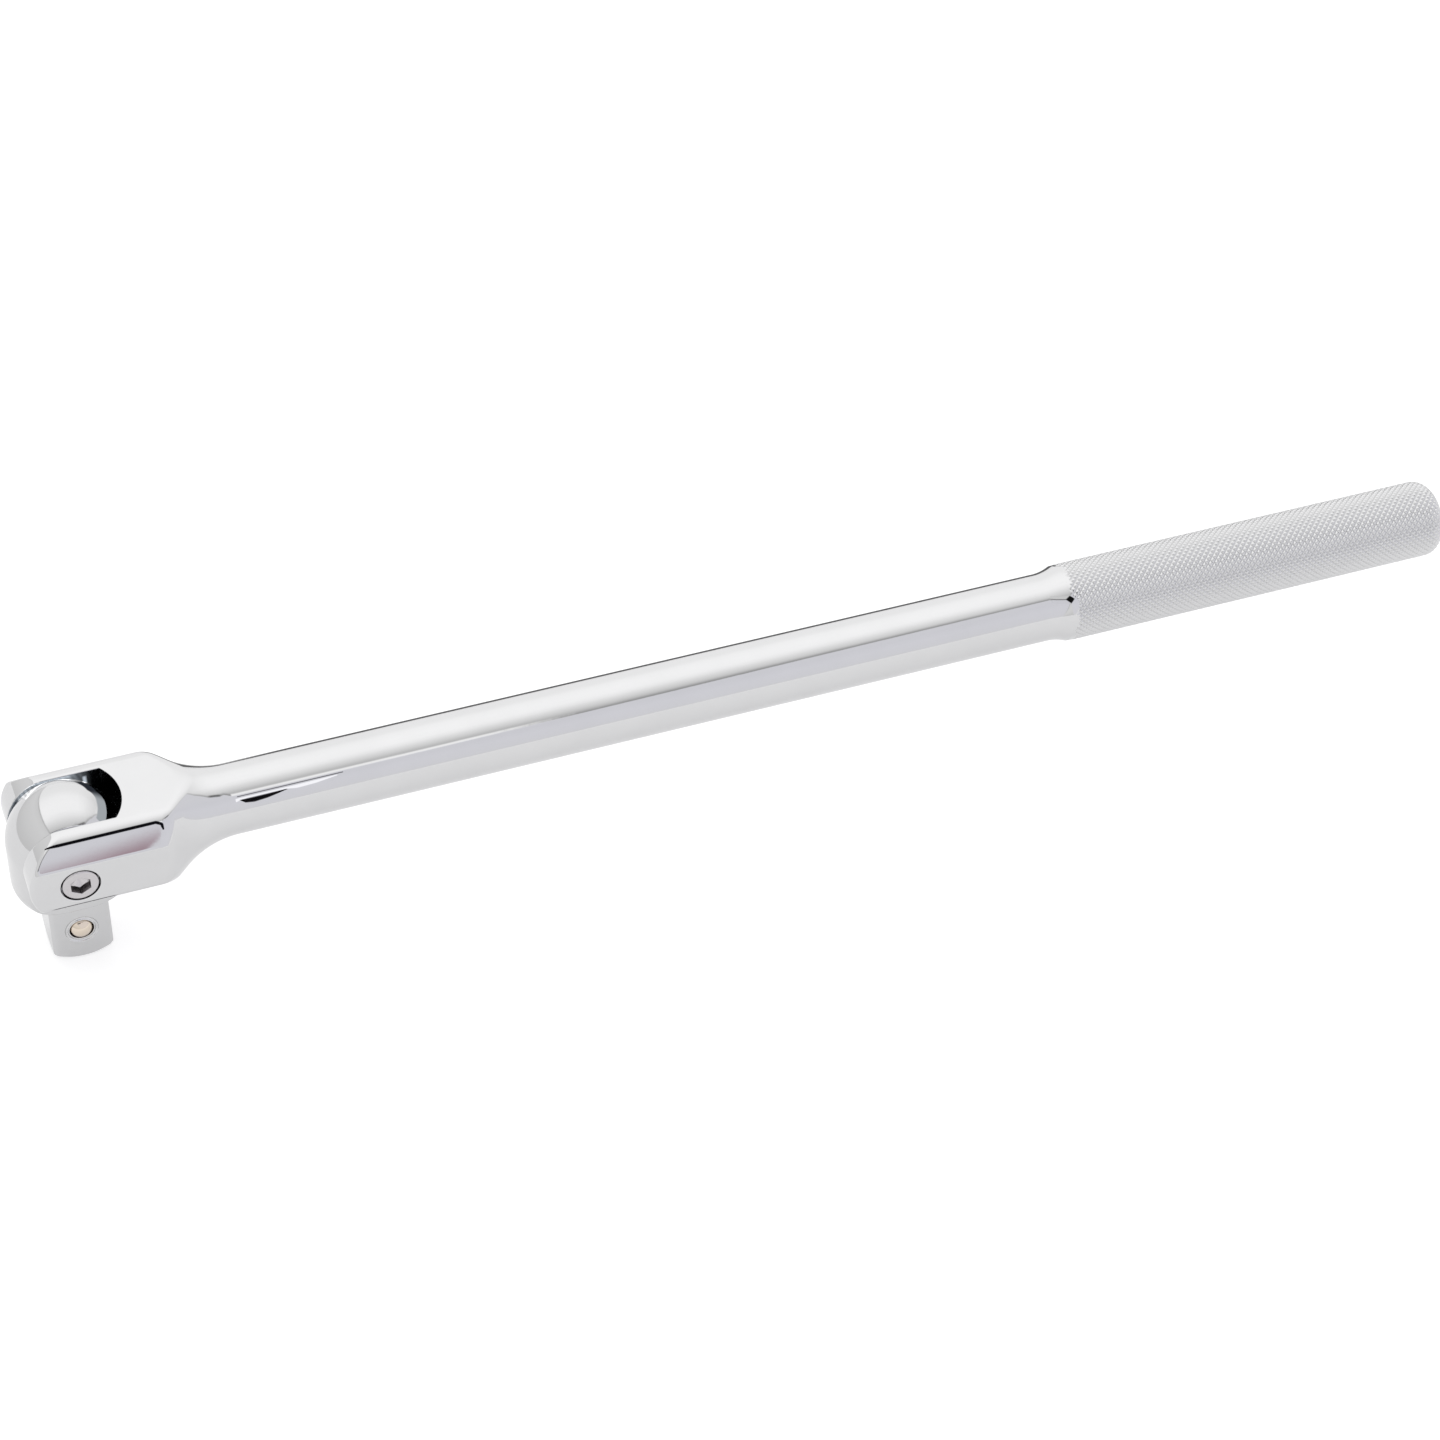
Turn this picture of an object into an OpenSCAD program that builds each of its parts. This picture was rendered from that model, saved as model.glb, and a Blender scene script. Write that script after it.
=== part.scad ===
// Breaker bar: a hinged square drive in the forked end of a one-piece handle with a knurled grip.
// Origin: the middle of the square drive's end face. The pivot is drive_tip above it.
// +X runs along the handle to its grip, +Y along the pivot screw to its threaded end, +Z is up.
// At rest the square drive points to -Z, square to the handle.
// Each module is drawn about the pivot, and the last lines of the file lift it into place.

/* [Handle] */
// Length from the front of the drive head to the end of the grip
overall_length = 249; // [220:1:290]
// Diameter of the smooth shaft
shaft_d = 11.4; // [11:0.1:12]
// Diameter over the knurled grip
grip_d = 13; // [12.6:0.1:14]
// Length of the grip with its rounded end
grip_length = 71.5; // [50:0.5:90]
// Radius of the hollow flare where the shaft meets the grip
grip_flare_r = 8.5; // [6:0.5:12]
// Radius of the grip's rim where it turns into the end
grip_rim_r = 2.4; // [1.6:0.2:3]
// Radius of the grip's domed end
grip_dome_r = 11; // [9:0.5:14]

/* [Yoke] */
// Width of the yoke over both ears
yoke_w = 21.8; // [21.4:0.1:22.4]
// Height of the yoke
yoke_h = 15; // [14.8:0.1:15.3]
// Size of the 45 degree bevels along the yoke's long edges
yoke_bevel = 3.6; // [3:0.1:4]
// Radius of the ears' noses round the pivot
nose_r = 7.75; // [7.7:0.05:8.2]
// Radius that rounds the outer rim of each nose
nose_edge_r = 1.4; // [0.6:0.1:2]
// Width of the slot between the ears
slot_w = 11.3; // [11.2:0.05:11.6]
// Radius of the round pocket behind the drive head
pocket_r = 11.88; // [11.85:0.01:12]
// Distance from the pivot to where the neck's cone is as wide as the yoke
neck_x = 14.4; // [14:0.2:18]
// Slope of the neck's cone
neck_angle = 37; // [32:1:45]
// Radius that blends the cone into the shaft
neck_fillet_r = 15; // [10:1:20]

/* [Drive head] */
// Size across the flats of the square drive, 9.525 for a 3/8 in drive
drive_af = 9.525; // [9.4:0.025:9.575]
// Diameter over the square drive's trimmed corners
drive_corner_d = 12.7; // [12.2:0.1:13]
// Distance from the pivot to the end of the drive
drive_tip = 21.9; // [21.4:0.1:22.4]
// Length of the lead-in cone at the end of the drive
drive_lead = 1.2; // [0.8:0.1:1.6]
// Radius of the ball-ended knuckle that turns between the ears
knuckle_r = 9.1; // [8.9:0.05:9.15]
// Gap between the knuckle and each ear
side_gap = 0.07; // [0.05:0.01:0.1]
// Distance from the pivot to the shoulder under the knuckle
shoulder_z = 10.8; // [10.2:0.1:11.2]
// Radius that rounds the shoulder's rim
shoulder_edge_r = 3.8; // [3:0.1:4.5]

/* [Pivot screw] */
// Diameter of the screw's shank and thread
screw_d = 5; // [4.6:0.1:5]
// Diameter of the screw's flush head
screw_head_d = 6.1; // [6:0.05:6.2]
// Thickness of the screw's head
screw_head_t = 3; // [2.6:0.1:3.4]
// Size of the bevel round the screw's head
screw_head_bevel = 0.45; // [0.2:0.05:0.5]
// Hex key size of the screw's socket
socket_af = 3; // [2.5:0.5:3]
// Depth of the hex socket
socket_depth = 2.2; // [1.6:0.1:2.4]

/* [Balls and springs] */
// Diameter of the socket-retaining ball in the drive, 5/32 in
drive_ball_d = 3.97; // [3.9:0.01:4]
// Distance from the pivot down to the drive ball
drive_ball_z = 15.8; // [15.4:0.1:16.4]
// Diameter of the opening that holds the drive ball in
drive_lip_d = 3.6; // [3.5:0.05:3.7]
// Thickness of the lip round that opening
drive_lip_t = 0.3; // [0.2:0.05:0.4]
// Outer diameter of the staked groove round the opening
stake_d = 5.3; // [4.9:0.1:5.6]
// Diameter of the friction ball behind the knuckle, 7/32 in
friction_ball_d = 5.556; // [5.5:0.001:5.6]
// Wire diameter of the drive ball's spring
drive_wire_d = 0.4; // [0.3:0.05:0.5]
// Wire diameter of the friction ball's spring
friction_wire_d = 0.7; // [0.5:0.05:0.8]

/* [Hidden] */
$fn = 96;

// Running gap round the screw's shank, between a ball and its bore, and between parts that touch
running_gap = 0.05;
touch_gap = 0.02;
// Small overlap that keeps a cutter clear of the face it cuts through
over = 1;
// How much the lead-in cone narrows the drive for each unit of its length
lead_slope = 1.4;
// Radial room between a spring and its bore
spring_room = 0.25;
// The staked groove: width of the lip left inside it, its depth, and the slope of its inner wall
stake_lip = 0.35;
stake_depth = 0.2;
stake_wall = 0.15;
// The screw's threaded end: how far it sits below the ear's face, and its bevel
screw_end_recess = 0.4;
screw_end_bevel = 0.5;
// Number of turns of each spring
drive_turns = 4.5;
friction_turns = 5;

grip_end_x = overall_length - knuckle_r;
grip_x = grip_end_x - grip_length;
shaft_r = shaft_d / 2;
grip_r = grip_d / 2;
half_w = yoke_w / 2;
half_h = yoke_h / 2;
knuckle_t = slot_w - 2 * side_gap;

// The neck's cone, if it went on, would reach the shaft's radius here
cone_end_x = neck_x + (half_w - shaft_r) / tan(neck_angle);
neck_tangent = neck_fillet_r * tan(neck_angle / 2);
// The cone starts this far out, clear of the yoke's corners
cone_start_r = half_w + 2;
cone_start_x = neck_x - (cone_start_r - half_w) / tan(neck_angle);

// Depth of the bore's centre behind the lip, where the drive ball rests against it
drive_ball_r = drive_ball_d / 2;
lip_r = drive_lip_d / 2;
drive_face_y = drive_af / 2;
drive_ball_y = -drive_face_y + drive_lip_t + sqrt(drive_ball_r^2 - lip_r^2) + touch_gap;
drive_bore_d = drive_ball_d + 2 * running_gap;
drive_bore_end_y = 3.2;
drive_spring_y = drive_ball_y + drive_ball_r + touch_gap;

friction_ball_r = friction_ball_d / 2;
friction_ball_x = knuckle_r + friction_ball_r + touch_gap;
friction_bore_d = friction_ball_d + 2 * running_gap;
friction_bore_end_x = 22.5;
friction_spring_x = friction_ball_x + friction_ball_r + touch_gap;

// Turns a shape drawn along +Z so that it runs along +X, or along +Y
module along_x() { rotate([0, 90, 0]) children(); }
module along_y() { rotate([-90, 0, 0]) children(); }

// Half outline of the neck, radius to the right and distance along the handle upwards
module neck_outline() {
    reach = neck_tangent * cos(neck_angle);
    rise = neck_tangent * sin(neck_angle);
    corner = [shaft_r, cone_end_x];
    on_cone = [shaft_r + rise, cone_end_x - reach];
    on_shaft = [shaft_r, cone_end_x + neck_tangent];
    polygon([[0, -2 * nose_r], [cone_start_r, -2 * nose_r], [cone_start_r, cone_start_x],
             corner, [0, cone_end_x]]);
    difference() {
        polygon([corner, on_cone, on_shaft]);
        translate([shaft_r + neck_fillet_r, cone_end_x + neck_tangent]) circle(neck_fillet_r);
    }
}

// Half outline of the shaft's flare, the grip and its domed end
module grip_outline() {
    step = grip_r - shaft_r;
    flare_length = sqrt(grip_flare_r^2 - (grip_flare_r - step)^2);
    dome_x = grip_end_x - grip_dome_r;
    rim_r = grip_r - grip_rim_r;
    rim_x = dome_x + sqrt((grip_dome_r - grip_rim_r)^2 - rim_r^2);
    dome_angle = atan2(rim_r, rim_x - dome_x);
    difference() {
        translate([0, grip_x - flare_length]) square([grip_r, flare_length]);
        translate([shaft_r + grip_flare_r, grip_x - flare_length]) circle(grip_flare_r);
    }
    translate([0, grip_x]) square([grip_r, rim_x - grip_x]);
    translate([rim_r, rim_x]) circle(grip_rim_r);
    translate([0, rim_x - over]) square([rim_r, over]);
    intersection() {
        translate([0, dome_x]) circle(grip_dome_r);
        polygon([[0, dome_x], [0, dome_x + 2 * grip_dome_r],
                 [2 * grip_dome_r * sin(dome_angle), dome_x + 2 * grip_dome_r * cos(dome_angle)]]);
    }
}

// The whole handle as if it were turned in a lathe
module turned_form() {
    rotate_extrude() {
        intersection() {
            union() {
                neck_outline();
                translate([0, cone_end_x - over]) square([shaft_r, grip_x - cone_end_x + over]);
                grip_outline();
            }
            translate([0, -2 * nose_r]) square([2 * yoke_w, grip_end_x + 2 * nose_r]);
        }
    }
}

// The yoke's eight-sided section, run along the whole handle
module bevelled_bar() {
    flat_w = half_w - yoke_bevel;
    flat_h = half_h - yoke_bevel;
    translate([-nose_r - over, 0, 0]) rotate([90, 0, 90])
        linear_extrude(grip_end_x + nose_r + 2 * over)
            polygon([[half_w, flat_h], [flat_w, half_h], [-flat_w, half_h], [-half_w, flat_h],
                     [-half_w, -flat_h], [-flat_w, -half_h], [flat_w, -half_h], [half_w, -flat_h]]);
}

// Everything behind the pivot, and a disc with rounded rims for the ears' noses
module nose_form() {
    along_y() translate([0, 0, -half_w]) rotate_extrude() {
        square([nose_r - nose_edge_r, yoke_w]);
        translate([0, nose_edge_r]) square([nose_r, yoke_w - 2 * nose_edge_r]);
        for (y = [nose_edge_r, yoke_w - nose_edge_r])
            translate([nose_r - nose_edge_r, y]) circle(nose_edge_r);
    }
    translate([0, -yoke_w, -yoke_h]) cube([grip_end_x + over, 2 * yoke_w, 2 * yoke_h]);
}

// The slot between the ears, with a ball-shaped pocket at its rear
module slot() {
    intersection() {
        translate([-2 * nose_r, -slot_w / 2, -yoke_h])
            cube([2 * nose_r + 2 * pocket_r, slot_w, 2 * yoke_h]);
        union() {
            sphere(pocket_r);
            translate([-2 * nose_r, -slot_w, -yoke_h]) cube([2 * nose_r, 2 * slot_w, 2 * yoke_h]);
        }
    }
}

module handle() {
    color("gainsboro") difference() {
        intersection() {
            bevelled_bar();
            nose_form();
            along_x() turned_form();
        }
        slot();
        // Through hole for the shank and the thread
        along_y() translate([0, 0, -half_w - over])
            cylinder(d = screw_d + 2 * running_gap, h = yoke_w + 2 * over);
        // Recess for the screw's head
        along_y() translate([0, 0, -half_w - over])
            cylinder(d = screw_head_d + 2 * running_gap, h = screw_head_t + over);
        // Bore for the friction ball and its spring
        along_x() cylinder(d = friction_bore_d, h = friction_bore_end_x);
    }
}

// Half outline of the knuckle about the drive's own axis: ball end, straight side, round shoulder
module knuckle_outline() {
    intersection() {
        circle(knuckle_r);
        square(knuckle_r);
    }
    difference() {
        translate([0, -shoulder_z]) square([knuckle_r, shoulder_z]);
        translate([knuckle_r - shoulder_edge_r, -shoulder_z]) square(shoulder_edge_r);
    }
    intersection() {
        translate([knuckle_r - shoulder_edge_r, shoulder_edge_r - shoulder_z]) circle(shoulder_edge_r);
        translate([0, -shoulder_z]) square([knuckle_r, shoulder_z]);
    }
}

// The square drive with its turned corners and lead-in cone
module square_drive() {
    corner_r = drive_corner_d / 2;
    tip_r = corner_r - drive_lead * lead_slope;
    intersection() {
        translate([-drive_af / 2, -drive_af / 2, -drive_tip])
            cube([drive_af, drive_af, drive_tip - over]);
        rotate_extrude() polygon([[0, 0], [corner_r, 0], [corner_r, drive_lead - drive_tip],
                                  [tip_r, -drive_tip], [0, -drive_tip]]);
    }
}

module drive_head() {
    color("silver") difference() {
        union() {
            intersection() {
                rotate_extrude() knuckle_outline();
                translate([-2 * knuckle_r, -knuckle_t / 2, -2 * knuckle_r])
                    cube([4 * knuckle_r, knuckle_t, 4 * knuckle_r]);
            }
            square_drive();
        }
        // Pivot bore
        along_y() translate([0, 0, -slot_w]) cylinder(d = screw_d + 2 * running_gap, h = 2 * slot_w);
        // Ball bore, with a narrower mouth that keeps the ball in
        translate([0, -drive_face_y + drive_lip_t, -drive_ball_z]) along_y()
            cylinder(d = drive_bore_d, h = drive_face_y - drive_lip_t + drive_bore_end_y);
        translate([0, -drive_face_y - over, -drive_ball_z]) along_y()
            cylinder(d = drive_lip_d, h = 2 * over);
        stake_groove();
    }
}

// Shallow ring pressed round the mouth to close it over the ball
module stake_groove() {
    inner_r = lip_r + stake_lip;
    outer_r = stake_d / 2;
    translate([0, -drive_face_y, -drive_ball_z]) along_y()
        rotate_extrude() polygon([[inner_r, -over], [outer_r, -over], [outer_r, 0],
                                  [inner_r + stake_wall, stake_depth], [inner_r, stake_depth]]);
}

module pivot_screw() {
    shank_start = -half_w + screw_head_t;
    head_r = screw_head_d / 2;
    thread_end = half_w - screw_end_recess;
    color("lightgray") difference() {
        along_y() rotate_extrude() polygon([
            [0, -half_w], [head_r - screw_head_bevel, -half_w], [head_r, -half_w + screw_head_bevel],
            [head_r, shank_start - touch_gap], [screw_d / 2, shank_start - touch_gap],
            [screw_d / 2, thread_end - screw_end_bevel],
            [screw_d / 2 - screw_end_bevel, thread_end], [0, thread_end]]);
        translate([0, -half_w - over, 0]) along_y()
            cylinder(d = socket_af / cos(30), h = socket_depth + over, $fn = 6);
    }
}

module drive_ball() {
    color("tan") translate([0, drive_ball_y, -drive_ball_z]) sphere(drive_ball_r);
}

module friction_ball() {
    color("silver") translate([friction_ball_x, 0, 0]) sphere(friction_ball_r);
}

// Coil spring along +Z: the level section of a round wire on a helix, twisted up its length.
// A level cut through the wire spans the angles where the helix is within half a wire of that level.
module coil_spring(wire_d, mean_r, length, turns) {
    pitch = length / turns;
    wire_r = wire_d / 2;
    side_points = 8;
    steps_per_turn = 20;
    half_angle = 360 * wire_r / pitch;
    outline = [for (side = [1, -1], i = [0 : side_points - 1])
        let (a = side * half_angle * cos(180 * i / side_points),
             r = mean_r + side * wire_r * sin(180 * i / side_points))
        [r * cos(a), r * sin(a)]];
    linear_extrude(height = length, twist = -360 * turns, slices = steps_per_turn * turns,
                   $fn = 2 * side_points)
        polygon(outline);
}

module drive_ball_spring() {
    length = drive_bore_end_y - touch_gap - drive_spring_y;
    color("darkgray") translate([0, drive_spring_y, -drive_ball_z]) along_y()
        coil_spring(drive_wire_d, (drive_bore_d - drive_wire_d) / 2 - spring_room, length, drive_turns);
}

module friction_spring() {
    length = friction_bore_end_x - touch_gap - friction_spring_x;
    color("darkgray") translate([friction_spring_x, 0, 0]) along_x()
        coil_spring(friction_wire_d, (friction_bore_d - friction_wire_d) / 2 - spring_room, length,
                    friction_turns);
}

translate([0, 0, drive_tip]) {
    handle();
    drive_head();
    pivot_screw();
    drive_ball();
    drive_ball_spring();
    friction_ball();
    friction_spring();
}
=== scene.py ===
"""Chromed breaker bar with a hinged square drive and a knurled grip.

Shapes are worked out in millimetres from the pivot, with X along the handle, Y along the
pivot screw and Z up, and go into the frame in metres. Forged parts are distance fields
turned into meshes, so that every edge has a small round for the light to catch.
"""
import math

import bpy
import numpy as np
from mathutils import Matrix, Vector


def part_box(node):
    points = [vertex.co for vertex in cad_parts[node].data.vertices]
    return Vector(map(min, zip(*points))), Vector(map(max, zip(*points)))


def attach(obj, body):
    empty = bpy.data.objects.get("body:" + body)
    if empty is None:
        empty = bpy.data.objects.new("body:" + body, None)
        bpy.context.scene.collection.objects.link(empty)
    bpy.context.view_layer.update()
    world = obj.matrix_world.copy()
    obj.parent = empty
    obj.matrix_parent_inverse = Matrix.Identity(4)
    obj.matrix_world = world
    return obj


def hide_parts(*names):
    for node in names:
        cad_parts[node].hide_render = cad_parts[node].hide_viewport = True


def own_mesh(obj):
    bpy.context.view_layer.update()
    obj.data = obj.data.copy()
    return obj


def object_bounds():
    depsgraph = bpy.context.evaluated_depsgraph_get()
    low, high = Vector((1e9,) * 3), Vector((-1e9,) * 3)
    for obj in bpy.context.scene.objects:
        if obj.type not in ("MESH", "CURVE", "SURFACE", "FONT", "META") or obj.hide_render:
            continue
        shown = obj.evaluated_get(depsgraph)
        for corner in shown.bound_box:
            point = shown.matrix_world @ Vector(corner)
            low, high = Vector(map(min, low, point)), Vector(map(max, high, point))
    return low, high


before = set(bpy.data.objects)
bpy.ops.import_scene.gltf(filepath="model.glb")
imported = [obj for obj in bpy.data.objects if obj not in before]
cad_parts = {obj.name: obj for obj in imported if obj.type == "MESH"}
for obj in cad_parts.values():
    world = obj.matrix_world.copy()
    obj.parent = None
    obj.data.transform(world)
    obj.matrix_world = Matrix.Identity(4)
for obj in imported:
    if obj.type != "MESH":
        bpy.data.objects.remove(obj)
cad_low, cad_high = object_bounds()

MM = 0.001
X, Y, Z = 0, 1, 2


# ---------------------------------------------------------------- sizes from the CAD frame

def box_mm(node):
    """Lowest and highest corner of a CAD node, in millimetres from the pivot."""
    low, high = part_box(node)
    return (np.array(low) - PIVOT) / MM, (np.array(high) - PIVOT) / MM


screw_low, screw_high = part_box("pivot_screw")
PIVOT = np.array([0.0, 0.0, (screw_low.z + screw_high.z) / 2])

handle_low, handle_high = box_mm("handle")
head_low, head_high = box_mm("drive_head")
screw_low, screw_high = box_mm("pivot_screw")
drive_ball_low, drive_ball_high = box_mm("drive_ball")
friction_ball_low, friction_ball_high = box_mm("friction_ball")

HALF_W = handle_high[Y]
HALF_H = handle_high[Z]
NOSE_R = -handle_low[X]
GRIP_END = handle_high[X]
KNUCKLE_R = head_high[X]
KNUCKLE_HALF = head_high[Y]
DRIVE_TIP = -head_low[Z]
SCREW_HEAD_R = screw_high[X]
SCREW_END = screw_high[Y]
DRIVE_BALL_R = (drive_ball_high[X] - drive_ball_low[X]) / 2
DRIVE_BALL_Y = drive_ball_low[Y] + DRIVE_BALL_R
DRIVE_BALL_Z = drive_ball_low[Z] + DRIVE_BALL_R
FRICTION_BALL_R = friction_ball_high[Z]
FRICTION_BALL_X = friction_ball_low[X] + FRICTION_BALL_R

# ---------------------------------------------------------------- further sizes, in mm

# A name that ends in _EDGE or _RIDGE is the round along an edge.

BEVEL = 3.6
BEVEL_EDGE = 0.9
LOWER_SIDE_EDGE = 0.35
UPPER_SIDE_EDGE = 0.12
NOSE_EDGE = 0.9
NOSE_RIDGE = 0.3
SLOT_HALF = 5.65
SLOT_EDGE = 0.2
POCKET_R = 11.88
NECK_X = 14.4
NECK_ANGLE = math.radians(37)
NECK_FILLET = 15.0
NECK_EDGE = 0.7
SHAFT_R = 5.7
SHAFT_START = 27.0
RECESS_EDGE = 0.12
HOLE_EDGE = 0.15
RUNNING_GAP = 0.05

KNUCKLE_EDGE = 0.3
SHOULDER = 10.8
SHOULDER_EDGE = 3.8
DRIVE_HALF = 9.525 / 2
DRIVE_EDGE = 0.15
DRIVE_CORNER_R = 6.35
DRIVE_CORNER_EDGE = 0.12
DRIVE_TIP_EDGE = 0.25
DRIVE_FILLET = 0.5
LEAD_LENGTH = 1.2
LEAD_SLOPE = 1.4
LEAD_EDGE = 0.4
BALL_LIP = 0.3
BALL_MOUTH_R = 1.93
BALL_MOUTH_EDGE = 0.06
BALL_BORE_END = 3.2
STAKE_MIDDLE_R = 2.4
STAKE_HALF = 0.25
STAKE_DEPTH = 0.2
STAKE_EDGE = 0.05

SCREW_R = 2.5
SCREW_END_EDGE = 0.5
SCREW_HEAD_T = 3.0
SCREW_HEAD_EDGE = 0.4
SCREW_HEAD_OVERLAP = 1.0
HEAD_GAP = 0.17
SOCKET_HALF = 1.5
SOCKET_DEPTH = 2.2
SOCKET_FLOOR_SLOPE = 0.45
SOCKET_EDGE = 0.08
FRICTION_BORE_END = 22.5

GRIP_LENGTH = 71.5
GRIP_R = 6.5
BAND_R = 6.42
FLARE_R = 8.5
FLARE_TOP_R = 0.5
RIM_R = 2.9
DOME_R = 11.0
KNURL_START = 168.8
KNURL_STARTS = 36
KNURL_DEPTH = 0.26
KNURL_SAMPLES = 8
KNURL_SLOPE = 1.8
KNURL_RUN_IN = 0.8
KNURL_PITCH = 2 * math.pi * GRIP_R / KNURL_STARTS
FIRST_EVEN_RING = 0.3

YOKE_CELL = 0.14
DRIVE_CELL = 0.13
SCREW_CELL = 0.08
MARGIN = 0.3


# ---------------------------------------------------------------- distance fields

def meet(a, b, radius):
    """Overlap of two fields, with the edge between them rounded."""
    corner = np.hypot(np.maximum(a + radius, 0), np.maximum(b + radius, 0))
    return np.minimum(np.maximum(a, b), -radius) + corner


def join(a, b, radius):
    """Both fields together, with the corner between them filled by a round."""
    return -meet(-a, -b, radius)


def yoke_bar(y, z):
    """The yoke's eight-sided section: soft edges above and below, crisper ones at the sides."""
    bevel = (np.abs(y) + np.abs(z) - (HALF_W + HALF_H - BEVEL)) / math.sqrt(2)
    side_edge = np.where(z < 0, LOWER_SIDE_EDGE, UPPER_SIDE_EDGE)
    return meet(meet(np.abs(z) - HALF_H, bevel, BEVEL_EDGE), np.abs(y) - HALF_W, side_edge)


def neck(x, radius):
    """Cone from the yoke down to the shaft, with a large hollow round between them."""
    tangent = NECK_FILLET * math.tan(NECK_ANGLE / 2)
    corner_x = NECK_X + (HALF_W - SHAFT_R) / math.tan(NECK_ANGLE)
    arc_end = corner_x + tangent
    arc_start = corner_x - tangent * math.cos(NECK_ANGLE)
    sine = np.clip((arc_end - x) / NECK_FILLET, 0, math.sin(NECK_ANGLE))
    cosine = np.sqrt(1 - sine**2)
    cone = HALF_W - (x - NECK_X) * math.tan(NECK_ANGLE)
    hollow = SHAFT_R + NECK_FILLET * (1 - cosine)
    return (radius - np.where(x < arc_start, cone, hollow)) * cosine


def yoke_field(x, y, z):
    """The forked end of the handle, as far as the plain shaft."""
    across = np.hypot(x, z)
    nose = np.where(x < 0, across, np.abs(z)) - NOSE_R
    solid = meet(yoke_bar(y, z), neck(x, np.hypot(y, z)), NECK_EDGE)
    solid = meet(solid, meet(nose, np.abs(y) - HALF_W, NOSE_EDGE), NOSE_RIDGE)
    ball_room = np.minimum(np.sqrt(x**2 + y**2 + z**2) - POCKET_R, x)
    solid = meet(solid, -np.maximum(np.abs(y) - SLOT_HALF, ball_room), SLOT_EDGE)
    head_room = SCREW_HEAD_R + RUNNING_GAP
    recess = np.maximum(across - head_room, y + HALF_W - SCREW_HEAD_T)
    solid = meet(solid, -recess, RECESS_EDGE)
    solid = meet(solid, RUNNING_GAP + SCREW_R - across, HOLE_EDGE)
    bore = np.hypot(y, z) - FRICTION_BALL_R - RUNNING_GAP
    return np.maximum(solid, -np.maximum(bore, x - FRICTION_BORE_END))


def head_field(x, y, z):
    """The knuckle with its ball end, rounded shoulder and side flats, and the square drive."""
    radius = np.hypot(x, y)
    ball_end = np.hypot(radius, z) - KNUCKLE_R
    barrel = meet(radius - KNUCKLE_R, -z - SHOULDER, SHOULDER_EDGE)
    knuckle = np.where(z > 0, ball_end, barrel)
    knuckle = meet(knuckle, np.abs(y) - KNUCKLE_HALF, KNUCKLE_EDGE)
    square = meet(np.abs(x) - DRIVE_HALF, np.abs(y) - DRIVE_HALF, DRIVE_EDGE)
    square = meet(square, radius - DRIVE_CORNER_R, DRIVE_CORNER_EDGE)
    lead_r = DRIVE_CORNER_R + (z + DRIVE_TIP - LEAD_LENGTH) * LEAD_SLOPE
    lead = (radius - lead_r) / math.hypot(1, LEAD_SLOPE)
    drive = meet(meet(square, lead, LEAD_EDGE), -z - DRIVE_TIP, DRIVE_TIP_EDGE)
    solid = join(knuckle, np.maximum(drive, z), DRIVE_FILLET)
    solid = np.maximum(solid, RUNNING_GAP + SCREW_R - np.hypot(x, z))
    from_ball = np.hypot(x, z - DRIVE_BALL_Z)
    bore = np.maximum(from_ball - DRIVE_BALL_R - RUNNING_GAP, -DRIVE_HALF + BALL_LIP - y)
    solid = np.maximum(solid, -np.maximum(bore, y - BALL_BORE_END))
    mouth = np.maximum(from_ball - BALL_MOUTH_R, y)
    solid = meet(solid, -mouth, BALL_MOUTH_EDGE)
    groove = np.hypot((from_ball - STAKE_MIDDLE_R) / STAKE_HALF, (y + DRIVE_HALF) / STAKE_DEPTH)
    return meet(solid, (1 - groove) * STAKE_DEPTH, STAKE_EDGE)


def screw_field(x, y, z):
    """Flush-headed pivot screw with a hex socket, and a bevel at its far end."""
    radius = np.hypot(x, z)
    below_face = y + HALF_W
    head = meet(radius - SCREW_HEAD_R + HEAD_GAP, -below_face, SCREW_HEAD_EDGE)
    head = np.maximum(head, below_face - SCREW_HEAD_T)
    shank = meet(radius - SCREW_R, y - SCREW_END, SCREW_END_EDGE)
    shank = np.maximum(shank, -SCREW_HEAD_OVERLAP - y - HALF_W + SCREW_HEAD_T)
    solid = np.minimum(head, shank)
    sixth = math.radians(60)
    flats = [np.abs(x * math.cos(i * sixth) + z * math.sin(i * sixth)) for i in range(3)]
    hexagon = np.maximum(np.maximum(flats[0], flats[1]), flats[2]) - SOCKET_HALF
    floor = below_face - SOCKET_DEPTH + radius * SOCKET_FLOOR_SLOPE
    return meet(solid, -np.maximum(hexagon, floor), SOCKET_EDGE)


# ---------------------------------------------------------------- fields to meshes

def slope(field, points, reach=0.004):
    """Gradient of a field at the points, by central differences."""
    parts = []
    for axis in (X, Y, Z):
        step = np.zeros(3)
        step[axis] = reach
        ahead = field(*(points + step).T)
        behind = field(*(points - step).T)
        parts.append((ahead - behind) / (2 * reach))
    return np.stack(parts, 1)


def settle(field, points, cell):
    """Moves points onto the field's surface and returns them with its normals."""
    start = points.copy()
    for _ in range(5):
        gradient = slope(field, points)
        square = np.maximum((gradient**2).sum(1), 0.2)
        points = points - gradient * (field(*points.T) / square)[:, None]
        points = start + np.clip(points - start, -cell, cell)
    gradient = slope(field, points)
    return points, gradient / np.maximum(np.linalg.norm(gradient, axis=1), 1e-9)[:, None]


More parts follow.
